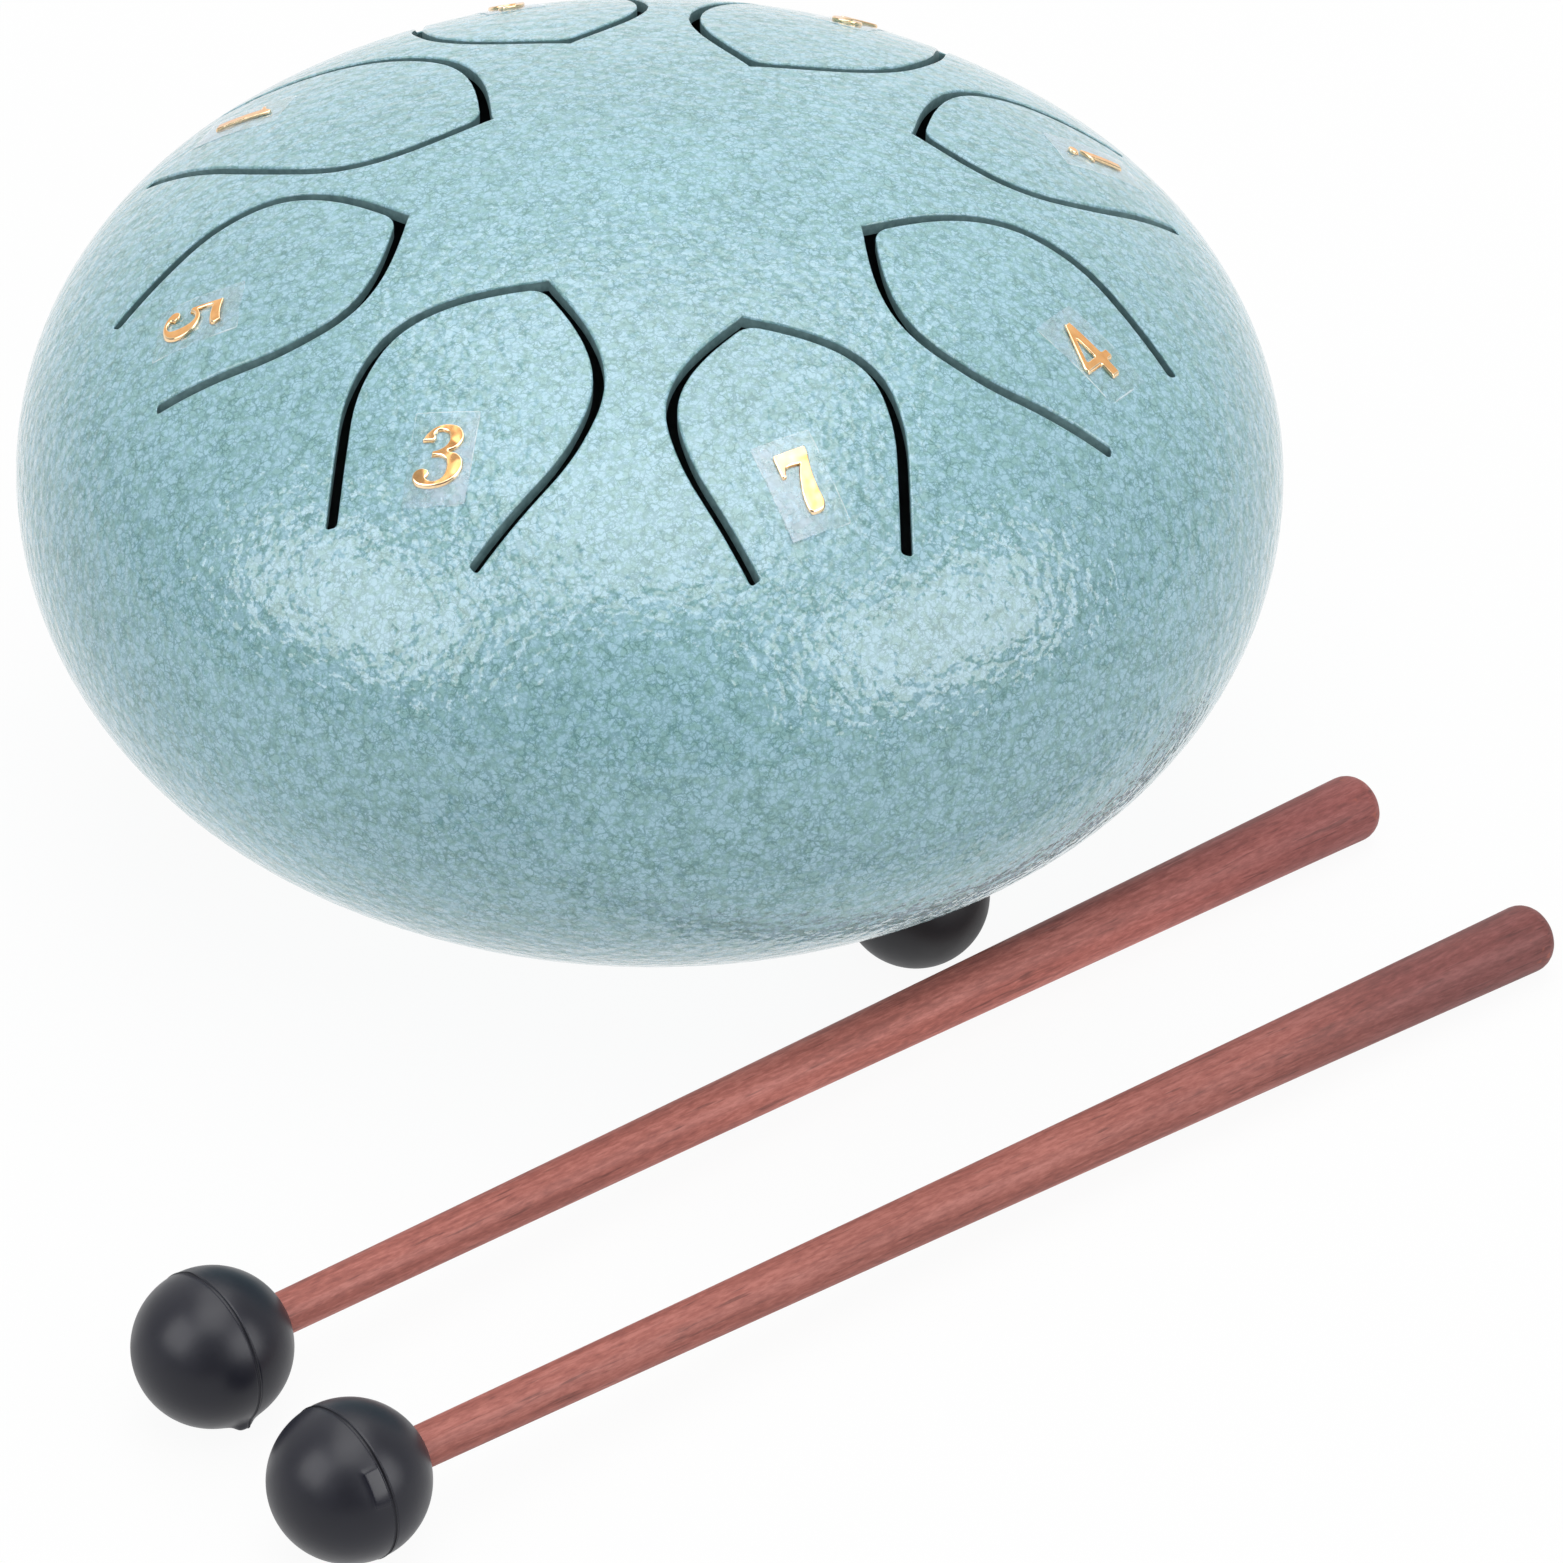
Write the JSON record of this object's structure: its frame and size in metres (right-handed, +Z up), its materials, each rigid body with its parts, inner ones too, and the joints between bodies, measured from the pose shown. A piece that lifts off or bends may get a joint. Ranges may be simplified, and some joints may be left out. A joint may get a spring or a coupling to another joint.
{
  "type": "steel tongue drum",
  "caption": "Round steel drum with tuned tongues cut in its domed top, on rubber feet, with two wooden mallets that have rubber balls.",
  "frame": {"origin": "centre of the sound hole, on the outer face of the flat base", "axes": "+Z up through the middle of the domed top, -Y towards the player, +X to the player's right"},
  "size_m": [0.188, 0.2324, 0.0911],
  "materials": {
    "hammered_paint": "glossy hammertone paint",
    "weld": "ground flush and painted over",
    "label_film": "clear film",
    "gilt": "polished",
    "foot_rubber": "matte",
    "ball_rubber": "satin",
    "stained_wood": "satin varnish"
  },
  "bodies": {
    "drum": {"top_shell": "hammered_paint", "bottom_shell": "hammered_paint", "seam_weld": "weld", "foot_1": "foot_rubber", "foot_2": "foot_rubber", "foot_3": "foot_rubber"},
    "tongue_high_1": {"tongue_high_1": "hammered_paint", "film_high_1": "label_film", "numeral_high_1": "gilt"},
    "tongue_2": {"tongue_2": "hammered_paint", "film_2": "label_film", "numeral_2": "gilt"},
    "tongue_6": {"tongue_6": "hammered_paint", "film_6": "label_film", "numeral_6": "gilt"},
    "tongue_1": {"tongue_1": "hammered_paint", "film_1": "label_film", "numeral_1": "gilt"},
    "tongue_5": {"tongue_5": "hammered_paint", "film_5": "label_film", "numeral_5": "gilt"},
    "tongue_3": {"tongue_3": "hammered_paint", "film_3": "label_film", "numeral_3": "gilt"},
    "tongue_7": {"tongue_7": "hammered_paint", "film_7": "label_film", "numeral_7": "gilt"},
    "tongue_4": {"tongue_4": "hammered_paint", "film_4": "label_film", "numeral_4": "gilt"},
    "mallet_1": {"mallet_1_handle": "stained_wood", "mallet_1_head": "ball_rubber"},
    "mallet_2": {"mallet_2_handle": "stained_wood", "mallet_2_head": "ball_rubber"}
  },
  "joints": [
    {"name": "tongue_high_1_flex", "type": "hinge", "parent": "drum", "child": "tongue_high_1", "pos_m": [0.06065, 0.02065, 0.0708], "axis": [0.3223, -0.9466, 0], "range_deg": [-0.6, 1], "stiffness_Nm_per_rad": 151},
    {"name": "tongue_2_flex", "type": "hinge", "parent": "drum", "child": "tongue_2", "pos_m": [0.02827, 0.05745, 0.07083], "axis": [0.8973, -0.4415, 0], "range_deg": [-0.6, 1], "stiffness_Nm_per_rad": 136},
    {"name": "tongue_6_flex", "type": "hinge", "parent": "drum", "child": "tongue_6", "pos_m": [-0.02064, 0.06062, 0.07083], "axis": [0.9466, 0.3223, 0], "range_deg": [-0.6, 1], "stiffness_Nm_per_rad": 155},
    {"name": "tongue_1_flex", "type": "hinge", "parent": "drum", "child": "tongue_1", "pos_m": [-0.05749, 0.02829, 0.07079], "axis": [0.4415, 0.8973, 0], "range_deg": [-0.6, 1], "stiffness_Nm_per_rad": 119},
    {"name": "tongue_5_flex", "type": "hinge", "parent": "drum", "child": "tongue_5", "pos_m": [-0.06062, -0.02064, 0.07083], "axis": [-0.3223, 0.9466, 0], "range_deg": [-0.6, 1], "stiffness_Nm_per_rad": 147},
    {"name": "tongue_3_flex", "type": "hinge", "parent": "drum", "child": "tongue_3", "pos_m": [-0.02827, -0.05746, 0.07082], "axis": [-0.8973, 0.4415, 0], "range_deg": [-0.6, 1], "stiffness_Nm_per_rad": 135},
    {"name": "tongue_7_flex", "type": "hinge", "parent": "drum", "child": "tongue_7", "pos_m": [0.02065, -0.06066, 0.07079], "axis": [-0.9466, -0.3223, 0], "range_deg": [-0.6, 1], "stiffness_Nm_per_rad": 149},
    {"name": "tongue_4_flex", "type": "hinge", "parent": "drum", "child": "tongue_4", "pos_m": [0.05746, -0.02827, 0.07082], "axis": [-0.4415, -0.8973, 0], "range_deg": [-0.6, 1], "stiffness_Nm_per_rad": 135},
    {"name": "mallet_1_lift", "type": "slide", "parent": "drum", "child": "mallet_1", "axis": [0.3617, -0.4451, 0.8192], "range_m": [0, 0.1]},
    {"name": "mallet_2_lift", "type": "slide", "parent": "drum", "child": "mallet_2", "axis": [0.3484, -0.4557, 0.8191], "range_m": [0, 0.1]}
  ]
}
